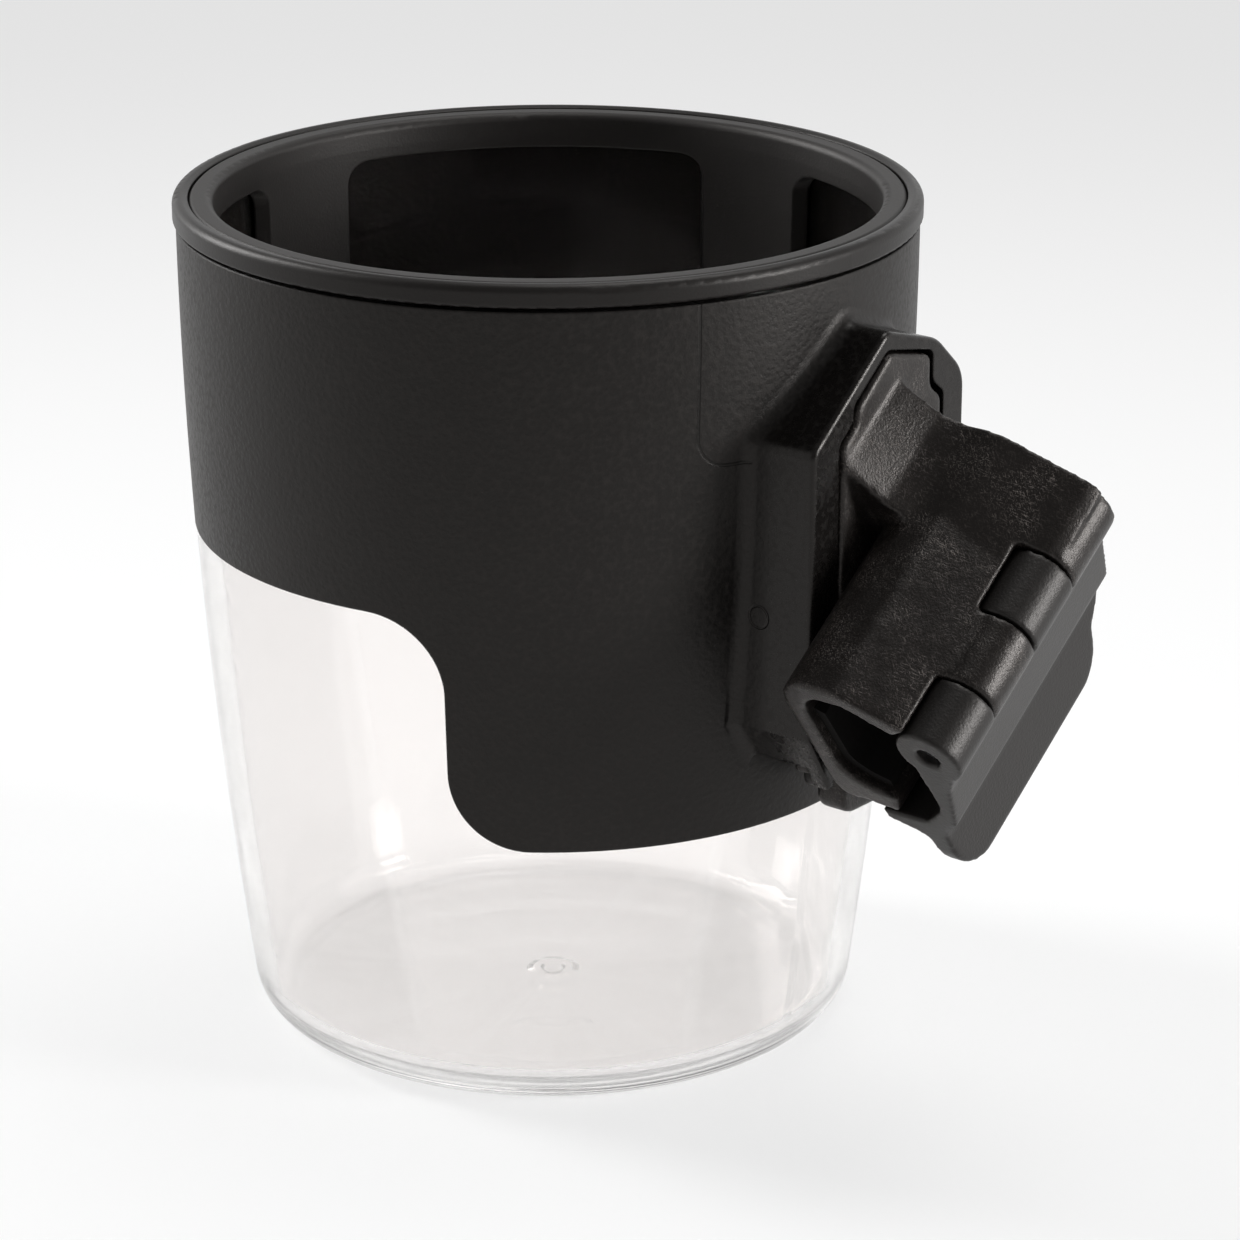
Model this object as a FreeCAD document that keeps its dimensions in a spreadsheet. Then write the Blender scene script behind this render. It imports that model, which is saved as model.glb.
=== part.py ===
import FreeCAD, Part
import Sketcher
import math
import os
import re

# Cup holder with a snap-on tube clamp, in millimetres.
# Origin: centre of the cup's foot.  +Z up, +X out through the middle of the clamp socket.
# The clamp has a frame of its own: its X runs outward, its Y across the tube, its Z down the tube.

V = FreeCAD.Vector
doc = FreeCAD.newDocument("cup_holder")
sheet = doc.addObject("Spreadsheet::Sheet", "Sizes")

SIZES = [
    # cup wall: one gentle arc in side view, through three radii of the sleeve's outer face
    ("top_radius", 47.1), ("mid_draw", 1.5), ("foot_draw", 6.0),
    ("sleeve_top", 106.4), ("arc_drop", 46.4), ("arc_foot", 12.0),
    ("sleeve_wall", 1.4), ("sleeve_fit", 0.1), ("cup_wall", 1.3), ("flush_step", 0.15),
    ("overcut", 6.0), ("overlap", 1.0),
    ("cup_stand", 0.5), ("cup_floor", 3.0), ("foot_round", 5.0), ("floor_round", 3.5),
    ("foot_taper", 1.5), ("floor_taper", 1.1), ("gate_mark_radius", 3.5), ("gate_mark_depth", 0.5),
    ("gate_mark_slope", 0.8), ("nub_radius", 1.3), ("nub_slope", 0.4),
    # stepped lower edge of the sleeve
    ("skirt_drop", 69.5), ("skirt_step", 30.3), ("skirt_angle", 66.4), ("step_round", 10.0),
    ("flank_overlap", 24.0), ("flank_half", 20.5),
    # rim ring and liner
    ("rim_overhang", 0.4), ("rim_height", 2.85), ("rim_round", 1.0), ("rim_foot_round", 0.3),
    ("ledge_height", 1.1), ("rim_width", 2.1), ("rim_bevel", 0.85), ("rim_back", 0.1),
    ("flange_gap", 0.12), ("flange_sink", 0.25), ("flange_width", 3.0), ("flange_bevel", 0.4),
    ("mouth_round", 1.0),
    ("liner_wall", 1.8), ("liner_gap", 0.25), ("liner_height", 36.4),
    ("window_angle", 69.0), ("window_sill", 1.5), ("window_height", 27.9), ("window_round", 3.0),
    # clamp socket on the sleeve
    ("socket_depth", 6.7), ("face_plate", 2.2), ("socket_half", 15.5), ("socket_wall", 2.6),
    ("socket_drop", 61.8), ("foot_chamfer", 7.5), ("foot_inset", 4.3),
    ("left_height", 44.1), ("right_height", 47.6), ("peak_y", -0.9), ("peak_height", 56.0),
    ("brow_y", 9.8), ("brow_height", 52.8), ("edge_round", 0.6), ("shoulder_round", 2.0),
    ("peak_round", 2.0), ("brow_round", 6.0), ("fall_round", 5.0), ("root_depth", 13.4),
    ("root_round", 2.0),
    # how far the socket's roof comes down, at each corner, for every millimetre of inset,
    # and how far its brow comes in
    ("left_slope", 0.55), ("peak_slope", 1.2), ("brow_slope", 1.1), ("brow_pull", 0.4),
    ("right_slope", 0.3),
    # keyed opening in the socket's face
    ("gate_lip", 2.5), ("gate_step", 2.8), ("gate_round", 1.4), ("hip_height", 44.0),
    ("hip_rise", 2.4), ("right_hip_rise", 1.9), ("neck_height", 48.3), ("neck_lean", 0.5),
    ("neck_drop", 0.6), ("gate_height", 53.7), ("gate_brow_drop", 1.1), ("gate_play", 0.6),
    ("slide_gap", 0.35),
    # tongue and release latch
    ("tongue_depth", 4.6), ("tongue_lift", 1.8), ("tab_reach", 4.2), ("tab_inset", 1.4),
    ("tongue_proud", 0.5), ("head_root", 0.6), ("tab_step", 1.0), ("tab_corner", 2.5),
    ("latch_depth", 6.2), ("latch_height", 15.4), ("latch_half", 7.0), ("latch_thick", 1.6),
    ("latch_reach", 2.8), ("latch_round", 2.0), ("latch_pin_radius", 0.75), ("ear_radius", 1.3),
    ("ear_gap_half", 2.6), ("ear_gap_drop", 2.2), ("nose_height", 5.4), ("nose_half", 1.8),
    ("nose_thick", 2.0), ("nose_gap", 0.25), ("pin_clear", 0.05), ("pin_cover", 1.2),
    ("leaf_half", 2.2), ("leaf_thick", 0.25), ("leaf_gap", 0.02), ("leaf_bow", 0.55),
    ("leaf_hem", 4.5), ("leaf_clip", 0.5), ("leaf_crest", 4.6), ("leaf_tip", 7.6),
    ("leaf_tip_stand", 0.2), ("leaf_round", 3.0),
    # clamp, in its own frame
    ("far_y", 4.07), ("far_height", 45.93), ("tube_tilt", 37.0), ("tube_length", 39.5),
    ("pin_a", 20.3), ("pin_b", -12.9), ("knuckle_radius", 4.4), ("knuckle_gap", 0.35),
    ("hinge_pin_radius", 1.5), ("pin_inset", 1.2), ("far_knuckle", 11.1), ("jaw_knuckle", 9.4),
    ("near_knuckle", 10.4), ("end_gap", 0.3), ("slot_inset", 1.7),
    # shell: the saddle over the tube, from the knuckles round to the fixed lower limb
    ("shell_left", 1.2), ("shell_crest", -3.7), ("shell_foot", -28.0), ("shell_wall", 2.5),
    ("crest_run", 8.9), ("crest_round", 3.0), ("left_round", 5.0), ("heel_round", 2.5),
    ("bore_round", 4.5), ("knuckle_root", 0.9), ("knuckle_rise", 0.3), ("root_sink", 0.26),
    ("root_angle", 37.0), ("heel_run", 4.8), ("heel_drop", 0.1), ("fillet_rise", 6.4),
    ("limb_end", 10.6), ("limb_drop", 0.6), ("limb_thick", 3.2), ("limb_round", 0.6),
    ("limb_slope", 1.2), ("limb_back", 4.0),
    # neck, between the tongue's head and the saddle
    ("neck_start", 0.3), ("neck_length", 14.2), ("neck_cap", 5.4), ("neck_cap_run", 0.4),
    ("neck_cap_rise", 0.6), ("neck_buried", 8.0), ("neck_root", 1.4), ("neck_cover", 0.2),
    # the neck's back at its far end and where it sinks into the saddle, from the crest
    ("far_dip_run", 5.0), ("far_dip", 3.5), ("far_saddle_run", 8.0), ("far_saddle", 2.4),
    ("far_ridge_run", 13.1), ("far_ridge", 2.0), ("near_dip_run", 4.2), ("near_dip", 2.7),
    ("near_saddle_run", 7.0), ("near_saddle", 0.0), ("near_ridge_run", 11.0), ("near_ridge", -0.8),
    # swelling of the far knuckle, from the hinge pin
    ("swell_left", 0.1), ("swell_top", 7.0), ("swell_out", 3.1), ("swell_high", 5.4),
    ("swell_right", 4.5), ("swell_low", 3.6), ("sunk_left", -0.3), ("sunk_top", 4.2),
    ("sunk_out", 2.0), ("sunk_high", 3.6), ("sunk_right", 3.3), ("sunk_low", 2.4),
    ("web_top", -9.0), ("web_foot", -24.0), ("web_near", 2.0), ("web_far", 12.0),
    # jaw: hangs from the knuckles outside the tube, with a lip under the limb and a thumb tab
    ("jaw_hang", 2.8), ("jaw_wall", 3.2), ("jaw_round", 4.0), ("jaw_root_in", 3.2),
    ("jaw_root_out", 2.6), ("jaw_root_drop", 3.0), ("jaw_shoulder", 7.0), ("jaw_heel", 2.2),
    ("heel_set", 3.7), ("lip_gap", 0.35), ("lip_reach", 3.4), ("lip_thick", 2.95),
    ("lip_nose", 1.4), ("lip_sag", 0.6), ("bend_round", 2.0), ("tab_set", 4.4),
    ("tab_length", 9.4), ("tab_flare", 0.6), ("tab_thick", 1.8), ("tab_edge", 0.6),
    ("tab_web", 0.8), ("tab_round", 6.5),
    ("tab_far", 3.8), ("tab_step_round", 1.2),
    ("pad_thick", 1.3), ("pad_gap", 0.02), ("pad_end", 1.5), ("pad_slope", 0.8),
    ("body_pad_top", 4.7), ("body_pad_foot", 1.0), ("pad_bend", 0.7), ("jaw_pad_gap", 0.37), ("jaw_pad_top", 5.4),
    ("jaw_pad_foot", 4.6),
]

# Places that follow from the sizes above
DERIVED = {
    "mid_radius": "top_radius - mid_draw",
    "foot_radius": "top_radius - foot_draw",
    "arc_mid": "sleeve_top - arc_drop",
    "cup_top": "sleeve_top + cup_stand",
    "wall_stack": "sleeve_wall + sleeve_fit + cup_wall",
    "skirt_foot": "sleeve_top - skirt_drop",
    "back_foot": "skirt_foot + skirt_step",
    "rim_radius": "top_radius + rim_overhang",
    "rim_ledge": "cup_top + ledge_height",
    "room": "top_radius + 2 * overcut",
    "rim_top": "cup_top + rim_height",
    "rim_bore": "top_radius - wall_stack - rim_back",
    "flange_radius": "rim_radius - rim_width",
    "flange_top": "rim_top - flange_sink",
    "mouth_radius": "flange_radius - flange_width",
    "liner_foot": "sleeve_top - liner_height",
    "window_top": "sleeve_top - window_sill",
    "window_foot": "window_top - window_height",
    "face_x": "top_radius + socket_depth",
    "root_x": "face_x - root_depth",
    "socket_foot": "sleeve_top - socket_drop",
    "shoulder_left": "socket_foot + left_height",
    "shoulder_right": "socket_foot + right_height",
    "peak_z": "socket_foot + peak_height",
    "brow_z": "socket_foot + brow_height",
    "gate_half": "socket_half - socket_wall - gate_lip",
    "gate_neck": "gate_half - gate_step",
    "gate_hip_z": "socket_foot + hip_height",
    "gate_neck_z": "socket_foot + neck_height",
    "gate_peak_z": "socket_foot + gate_height",
    "tongue_back": "face_x - tongue_depth",
    "tongue_foot": "socket_foot + tongue_lift",
    "tab_back": "tongue_back + tab_step",
    "tab_foot": "socket_foot - tab_reach",
    "tab_half": "gate_half - tab_inset",
    "latch_x": "face_x - latch_depth",
    "latch_z": "socket_foot + latch_height",
    "latch_foot": "socket_foot - latch_reach",
    "nose_z": "socket_foot + nose_height",
    "far_z": "socket_foot + far_height",
    "knuckle_one": "far_knuckle",
    "knuckle_two": "knuckle_one + jaw_knuckle",
    "knuckle_three": "knuckle_two + near_knuckle",
    "slot_a": "pin_a - slot_inset",
    "limb_foot": "shell_foot - limb_drop",
    "limb_top": "limb_foot + limb_thick",
    "bore_left": "shell_left + shell_wall",
    "bore_top": "shell_crest - shell_wall",
    "jaw_inner": "pin_a - jaw_hang",
    "jaw_outer": "jaw_inner + jaw_wall",
    "jaw_floor": "limb_foot - lip_gap",
    "lip_end": "limb_end - lip_reach",
    "lip_foot": "jaw_floor - lip_thick",
    "tab_drop": "lip_foot - tab_length",
    "tab_a": "jaw_inner - tab_set + tab_flare",
}

for row, (name, value) in enumerate(SIZES, start=1):
    sheet.set("A%d" % row, name)
    sheet.set("B%d" % row, repr(value))
    sheet.setAlias("B%d" % row, name)
doc.recompute()

NAMES = {name for name, value in SIZES}


def bound(text):
    """Turn plain names of sizes and places into references to the sheet's cells."""
    def spell(match):
        word = match.group(0)
        if word in DERIVED:
            return "(%s)" % bound(DERIVED[word])
        return "Sizes." + word if word in NAMES else word
    return re.sub(r"[a-z_]+", spell, text)


def size(text):
    """The present value of an expression on the sheet."""
    return float(sheet.evalExpression(bound(text)))


def plane(body, role):
    return next(item for item in body.Origin.OriginFeatures if item.Role == role)


def new_body(name):
    body = doc.addObject("PartDesign::Body", name)
    body.Label = name
    return body


def pin_point(sketch, geo, pos, corner):
    """Hold a point of the sketch at a corner given by two expressions."""
    for kind, text in zip(("DistanceX", "DistanceY"), corner[:2]):
        index = sketch.addConstraint(Sketcher.Constraint(kind, -1, 1, geo, pos, size(text)))
        sketch.setExpression("Constraints[%d]" % index, bound(text))


def corner_points(points, radii):
    """For every corner, the points where its two edges start and stop once it is rounded."""
    count = len(points)
    cuts = []
    for i, point in enumerate(points):
        if not radii[i]:
            cuts.append((point, point))
            continue
        before = (points[i - 1] - point).normalize()
        after = (points[(i + 1) % count] - point).normalize()
        reach = size(radii[i]) / math.tan(before.getAngle(after) / 2)
        cuts.append((point + before * reach, point + after * reach))
    return cuts


def draw(sketch, corners):
    """Draw a closed outline.  A corner is (x, y), (x, y, rounding) or (x, y, None, via_x, via_y),
    where the last form makes the edge to the next corner an arc through the via point."""
    count = len(corners)
    points = [V(size(c[0]), size(c[1]), 0) for c in corners]
    radii = [c[2] if len(c) > 2 else None for c in corners]
    cuts = corner_points(points, radii)
    flipped = []
    for i, corner in enumerate(corners):
        start = cuts[i][1]
        stop = cuts[(i + 1) % count][0]
        if len(corner) < 5:
            sketch.addGeometry(Part.LineSegment(start, stop), False)
            flipped.append(False)
            continue
        via = V(size(corner[3]), size(corner[4]), 0)
        arc = Part.Arc(start, via, stop)
        sketch.addGeometry(arc, False)
        flipped.append(sketch.getPoint(i, 1).distanceToPoint(start) > 1e-6)
    for i, corner in enumerate(corners):
        last = (i - 1) % count
        start_pos = 2 if flipped[i] else 1
        stop_pos = 1 if flipped[last] else 2
        if len(corner) > 4:
            point = sketch.addGeometry(Part.Point(V(size(corner[3]), size(corner[4]), 0)), True)
            pin_point(sketch, point, 1, corner[3:5])
            sketch.addConstraint(Sketcher.Constraint("PointOnObject", point, 1, i))
        if not radii[i]:
            sketch.addConstraint(Sketcher.Constraint("Coincident", last, stop_pos, i, start_pos))
            pin_point(sketch, i, start_pos, corner)
            continue
        before, after = cuts[i]
        middle = points[i] + (before + after - points[i] * 2).normalize() * (
            (before - points[i]).Length / math.cos((before - points[i]).getAngle(after - points[i]) / 2)
            - size(radii[i]))
        arc = sketch.addGeometry(Part.Arc(before, middle, after), False)
        swapped = sketch.getPoint(arc, 1).distanceToPoint(before) > 1e-6
        first, second = (2, 1) if swapped else (1, 2)
        sketch.addConstraint(Sketcher.Constraint("Tangent", last, stop_pos, arc, first))
        sketch.addConstraint(Sketcher.Constraint("Tangent", arc, second, i, start_pos))
        index = sketch.addConstraint(Sketcher.Constraint("Radius", arc, size(radii[i])))
        sketch.setExpression("Constraints[%d]" % index, bound(radii[i]))
        point = sketch.addGeometry(Part.Point(points[i]), True)
        pin_point(sketch, point, 1, corner)
        sketch.addConstraint(Sketcher.Constraint("PointOnObject", point, 1, last))
        sketch.addConstraint(Sketcher.Constraint("PointOnObject", point, 1, i))
    return sketch


def new_sketch(body, role, corners, offset=None):
    """An outline on one of the body's own planes, moved along the plane's normal by offset."""
    sketch = body.newObject("Sketcher::SketchObject", body.Name + "_outline")
    sketch.AttachmentSupport = (plane(body, role), "")
    sketch.MapMode = "FlatFace"
    if offset:
        sketch.setExpression("AttachmentOffset.Base.z", bound(offset))
    doc.recompute()
    return draw(sketch, corners)


def pad(body, role, corners, start, stop):
    """Extrude an outline along the plane's normal from start to stop."""
    sketch = new_sketch(body, role, corners, start)
    feature = body.newObject("PartDesign::Pad", body.Name + "_pad")
    feature.Profile = sketch
    feature.setExpression("Length", bound("(%s) - (%s)" % (stop, start)))
    body.Tip = feature
    return feature


def turned(body, corners):
    """Revolve an outline of the XZ plane, drawn as (radius, height), about the Z axis."""
    sketch = new_sketch(body, "XZ_Plane", corners)
    feature = body.newObject("PartDesign::Revolution", body.Name + "_turn")
    feature.Profile = sketch
    feature.ReferenceAxis = (sketch, ["V_Axis"])
    feature.Angle = 360
    body.Tip = feature
    return feature


def boolean(kind, name, shapes):
    """A Part::Cut, Part::MultiFuse or Part::Common of objects."""
    result = doc.addObject("Part::" + kind, name)
    if kind in ("MultiFuse", "MultiCommon"):
        result.Shapes = shapes
    else:
        result.Base, result.Tool = shapes
    result.Label = name
    return result


def wall_arc(inset, way):
    """Two corners joined by the side arc, set in from the sleeve's outer face by inset."""
    top = "top_radius - (%s)" % inset
    mid = "mid_radius - (%s)" % inset
    foot = "foot_radius - (%s)" % inset
    if way == "up":
        return [(foot, "arc_foot", None, mid, "arc_mid"), (top, "sleeve_top")]
    return [(top, "sleeve_top", None, mid, "arc_mid"), (foot, "arc_foot")]


def square(half):
    """Four corners of a square about the origin."""
    return [("-(%s)" % half, "-(%s)" % half), (half, "-(%s)" % half), (half, half), ("-(%s)" % half, half)]


def upright(half, foot, top, foot_round=None, top_round=None):
    """Four corners of an upright rectangle about the middle plane, with optional roundings."""
    return [("-(%s)" % half, foot, foot_round), (half, foot, foot_round),
            (half, top, top_round), ("-(%s)" % half, top, top_round)]


# ---- the zone that the sleeve covers -------------------------------------------------

def skirt_zone(name, grow):
    """Everything above the sleeve's stepped edge: the band all round, and the deep skirt in front."""
    band = new_body(name + "_band")
    pad(band, "XY_Plane", square("room"), "back_foot - " + grow, "rim_top")
    front = new_body(name + "_front")
    half = "mid_radius * sin(skirt_angle - flank_overlap)"
    foot = "skirt_foot - " + grow
    pad(front, "YZ_Plane", upright(half, foot, "rim_top"), "overlap", "room")
    pieces = [band, front]
    for side in (1, -1):
        flank = new_body(name + ("_left" if side < 0 else "_right"))
        edge = "%d * (%s)" % (side, grow)
        span = "%d * flank_half" % side
        shelf = "back_foot - " + grow
        corners = [("-(%s)" % span, foot), (edge, foot, "step_round"), (edge, shelf, "step_round"),
                   (span, shelf), (span, "rim_top"), ("-(%s)" % span, "rim_top")]
        pad(flank, "YZ_Plane", corners, "mid_radius / 2", "room")
        flank.setExpression("Placement.Rotation.Angle", bound("%d * skirt_angle" % side))
        flank.Placement = FreeCAD.Placement(V(), FreeCAD.Rotation(V(0, 0, 1), side * size("skirt_angle")))
        pieces.append(flank)
    return boolean("MultiFuse", name, pieces)


# ---- cup, sleeve, rim and liner --------------------------------------------------------

def make_cup():
    shell = new_body("cup_shell")
    corners = [("0", "0"), ("nub_radius", "0"), ("nub_radius + nub_slope", "gate_mark_depth"),
               ("gate_mark_radius - gate_mark_slope", "gate_mark_depth"), ("gate_mark_radius", "0"),
               ("foot_radius - foot_taper - flush_step", "0", "foot_round")]
    corners += wall_arc("flush_step", "up")
    corners += [("top_radius - flush_step", "cup_top"), ("top_radius - wall_stack", "cup_top")]
    corners += wall_arc("wall_stack", "down")
    corners += [("foot_radius - wall_stack - floor_taper", "cup_floor", "floor_round"), ("0", "cup_floor")]
    turned(shell, corners)
    rebate_ring = new_body("rebate_ring")
    seat = "sleeve_wall + sleeve_fit"
    corners = wall_arc(seat, "up")
    corners += [("top_radius - (%s)" % seat, "cup_top + overlap"),
                ("top_radius + overcut", "cup_top + overlap"), ("top_radius + overcut", "arc_foot")]
    turned(rebate_ring, corners)
    zone = skirt_zone("rebate_zone", "sleeve_fit")
    rebate = boolean("MultiCommon", "rebate", [rebate_ring, zone])
    return boolean("Cut", "tumbler", (shell, rebate))


def socket_outline(inset, foot=None):
    """The socket's leaf-shaped outline, set in by inset, as (y, z) corners.

    With a foot height its sides run straight down to there, otherwise its lower corners are cut off."""
    half = "socket_half - (%s)" % inset
    roof = [
        ("-(%s)" % half, "shoulder_left - (%s) * left_slope" % inset, "shoulder_round"),
        ("peak_y", "peak_z - (%s) * peak_slope" % inset, "peak_round"),
        ("brow_y - (%s) * brow_pull" % inset, "brow_z - (%s) * brow_slope" % inset, "brow_round"),
        (half, "shoulder_right - (%s) * right_slope" % inset, "fall_round"),
    ]
    if foot:
        return roof + [(half, foot), ("-(%s)" % half, foot)]
    return roof + [
        (half, "socket_foot + foot_chamfer"),
        ("%s - foot_inset" % half, "socket_foot"),
        ("foot_inset - (%s)" % half, "socket_foot"),
        ("-(%s)" % half, "socket_foot + foot_chamfer"),
    ]


def gate_outline(inset, foot="socket_foot - overcut", play="0"):
    """The keyed opening in the socket's face, open at the foot, as (y, z) corners.

    Play widens its right side, so that the tongue's head lies against the left."""
    hip = "gate_half - (%s)" % inset
    neck = "gate_neck - (%s)" % inset
    return [
        ("-(%s)" % hip, foot),
        ("-(%s)" % hip, "gate_hip_z - (%s)" % inset, "gate_round"),
        ("-(%s)" % neck, "gate_hip_z + hip_rise - (%s)" % inset, "gate_round"),
        ("-(%s)" % neck, "gate_neck_z - (%s)" % inset, "gate_round"),
        ("peak_y", "gate_peak_z - (%s)" % inset, "gate_round"),
        ("%s + neck_lean + %s" % (neck, play), "brow_z - gate_brow_drop - (%s)" % inset, "gate_round"),
        ("%s + neck_lean + %s" % (neck, play), "gate_neck_z - neck_drop - (%s)" % inset, "gate_round"),
        ("%s + %s" % (hip, play), "gate_hip_z + right_hip_rise - (%s)" % inset, "gate_round"),
        ("%s + %s" % (hip, play), foot),
    ]


def root_edges(sleeve, block):
    """Numbers of the edges along which the socket's outside meets the sleeve's outer face."""
    numbers = []
    for number, edge in enumerate(sleeve.Edges, start=1):
        middle = edge.valueAt((edge.FirstParameter + edge.LastParameter) / 2)
        kinds = [face.Surface.TypeId for face in sleeve.ancestorsOfType(edge, Part.Face)]
        on_wall = kinds.count("Part::GeomSurfaceOfRevolution") == 1
        on_outline = block.isInside(middle, 1e-4, True) and not block.isInside(middle, 1e-4, False)
        if on_wall and on_outline:
            numbers.append(number)
    return numbers


def make_sleeve():
    ring = new_body("sleeve_ring")
    corners = wall_arc("0", "up") + wall_arc("sleeve_wall", "down")
    turned(ring, corners)
    wall = boolean("MultiCommon", "sleeve_band", [ring, skirt_zone("sleeve_zone", "0")])
    block = new_body("socket_block")
    pad(block, "YZ_Plane", socket_outline("0"), "root_x", "face_x")
    doc.recompute()
    base = block.Tip
    front = ["Edge%d" % (i + 1) for i, edge in enumerate(base.Shape.Edges)
             if all(abs(v.X - size("face_x")) < 1e-6 for v in edge.Vertexes)]
    rounds = block.newObject("PartDesign::Fillet", "socket_edges")
    rounds.Base = (base, front)
    rounds.setExpression("Radius", bound("edge_round"))
    block.Tip = rounds
    cavity = new_body("socket_cavity")
    outline = socket_outline("socket_wall", "socket_foot - overcut")
    pad(cavity, "YZ_Plane", outline, "root_x - overlap", "face_x - face_plate")
    gate = new_body("socket_gate")
    pad(gate, "YZ_Plane", gate_outline("0", play="gate_play"), "face_x - face_plate - overlap", "face_x + overcut")
    core = new_body("cup_core")
    corners = [("0", "arc_foot")] + wall_arc("sleeve_wall / 2", "up")
    corners += [("0", "sleeve_top")]
    turned(core, corners)
    seat = make_latch_pin("latch_pin_seat")
    hollow = boolean("MultiFuse", "socket_hollow", [cavity, gate, core, seat])
    socket = boolean("Cut", "socket_frame", (block, hollow))
    joined = boolean("MultiFuse", "sleeve_joined", [wall, socket])
    doc.recompute()
    rooted = doc.addObject("Part::Fillet", "sleeve")
    rooted.Label = "sleeve"
    rooted.Base = joined
    radius = size("root_round")
    rooted.Edges = [(number, radius, radius) for number in root_edges(joined.Shape, block.Shape)]
    return rooted


def make_rim():
    rim = new_body("rim_ring")
    turned(rim, [
        ("rim_bore", "cup_top"),
        ("rim_radius", "cup_top", "rim_foot_round"),
        ("rim_radius", "rim_top", "rim_round"),
        ("flange_radius + rim_bevel", "rim_top"),
        ("flange_radius + flange_gap", "flange_top"),
        ("flange_radius + flange_gap", "rim_ledge"),
        ("rim_bore", "rim_ledge"),
    ])
    return rim


def make_liner():
    turn = new_body("liner_turn")
    outer = "wall_stack + liner_gap"
    inner = outer + " + liner_wall"
    corners = [
        ("top_radius - (%s)" % inner, "sleeve_top"),
        ("mouth_radius", "flange_top", "mouth_round"),
        ("flange_radius - flange_bevel", "flange_top"),
        ("flange_radius", "flange_top - flange_bevel"),
        ("flange_radius", "rim_ledge + flange_gap"),
        ("top_radius - (%s)" % outer, "rim_ledge + flange_gap"),
    ]
    corners += wall_arc(outer, "down")
    corners += [("foot_radius - (%s)" % inner, "arc_foot", None, "mid_radius - (%s)" % inner, "arc_mid")]
    turned(turn, corners)
    cut = new_body("liner_trim")
    pad(cut, "XY_Plane", square("room"), "0", "liner_foot")
    pieces = [cut]
    for corner in range(4):
        window = new_body("liner_window%d" % corner)
        half = "mouth_radius * sin(window_angle / 2)"
        pad(window, "YZ_Plane", upright(half, "window_foot", "window_top", "window_round", "window_round"),
            "mouth_radius / 2", "room")
        window.Placement = FreeCAD.Placement(V(), FreeCAD.Rotation(V(0, 0, 1), 45 + 90 * corner))
        pieces.append(window)
    return boolean("Cut", "liner", (turn, boolean("MultiFuse", "liner_cuts", pieces)))


# ---- release latch inside the socket ------------------------------------------------------

def rod(name, radius, length, base, direction):
    """A Part cylinder whose foot is at base and whose axis runs along direction."""
    cylinder = doc.addObject("Part::Cylinder", name)
    cylinder.Label = name
    cylinder.setExpression("Radius", bound(radius))
    cylinder.setExpression("Height", bound(length))
    turn = FreeCAD.Rotation(V(0, 0, 1), direction)
    cylinder.Placement = FreeCAD.Placement(V(*[size(text) for text in base]), turn)
    return cylinder


def make_latch():
    plate = new_body("latch_plate")
    pad(plate, "YZ_Plane", upright("latch_half", "latch_foot", "latch_z", "latch_round"),
        "latch_x - latch_thick / 2", "latch_x + latch_thick / 2")
    nose = new_body("latch_nose")
    pad(nose, "YZ_Plane", upright("nose_half", "nose_z - nose_thick / 2", "nose_z + nose_thick / 2"),
        "latch_x", "tongue_back - nose_gap")
    ear = rod("latch_ear", "ear_radius", "2 * latch_half", ("latch_x", "-latch_half", "latch_z"), V(0, 1, 0))
    solid = boolean("MultiFuse", "latch_solid", [plate, nose, ear])
    bore = rod("latch_bore", "latch_pin_radius + pin_clear", "2 * socket_half",
               ("latch_x", "-socket_half", "latch_z"), V(0, 1, 0))
    gap = new_body("latch_gap")
    pad(gap, "YZ_Plane", upright("ear_gap_half", "latch_z - ear_gap_drop", "latch_z + ear_gap_drop"),
        "latch_x - 2 * ear_radius", "latch_x + 2 * ear_radius")
    cuts = boolean("MultiFuse", "latch_cuts", [bore, gap])
    return boolean("Cut", "release_latch", (solid, cuts))


def make_latch_pin(name="latch_pin"):
    """The latch's pin, whose ends sit in blind holes in the socket's side walls."""
    return rod(name, "latch_pin_radius", "2 * (socket_half - pin_cover)",
               ("latch_x", "-(socket_half - pin_cover)", "latch_z"), V(0, 1, 0))


def make_latch_spring():
    """Bowed leaf spring behind the latch, clipped to it at its foot."""
    leaf = new_body("latch_spring")
    back = "latch_x - latch_thick / 2 - leaf_gap"
    tip = back + " - leaf_tip_stand"
    pad(leaf, "XZ_Plane", [
        (back, "nose_z - leaf_hem"),
        (back, "nose_z - leaf_clip", "leaf_round"),
        (back + " - leaf_bow", "nose_z + leaf_crest", "leaf_round"),
        (tip, "nose_z + leaf_tip"),
        (tip + " - leaf_thick", "nose_z + leaf_tip"),
        (back + " - leaf_bow - leaf_thick", "nose_z + leaf_crest", "leaf_round"),
        (back + " - leaf_thick", "nose_z - leaf_clip", "leaf_round"),
        (back + " - leaf_thick", "nose_z - leaf_hem"),
    ], "-leaf_half", "leaf_half")
    return leaf


# ---- clamp, in its own frame ---------------------------------------------------------------

def clamp_place():
    turn = FreeCAD.Rotation(V(1, 0, 0), 90 + size("tube_tilt"))
    return FreeCAD.Placement(V(size("face_x"), size("far_y"), size("far_z")), turn)


def bind_to_clamp(item):
    item.Placement = clamp_place()
    item.setExpression("Placement.Base.x", bound("face_x"))
    item.setExpression("Placement.Base.y", bound("far_y"))
    item.setExpression("Placement.Base.z", bound("far_z"))
    item.setExpression("Placement.Rotation.Angle", bound("90 + tube_tilt"))
    return item


def clamp_prism(name, corners, start="0", stop="tube_length"):
    body = new_body(name)
    pad(body, "XY_Plane", corners, start, stop)
    return bind_to_clamp(body)


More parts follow.
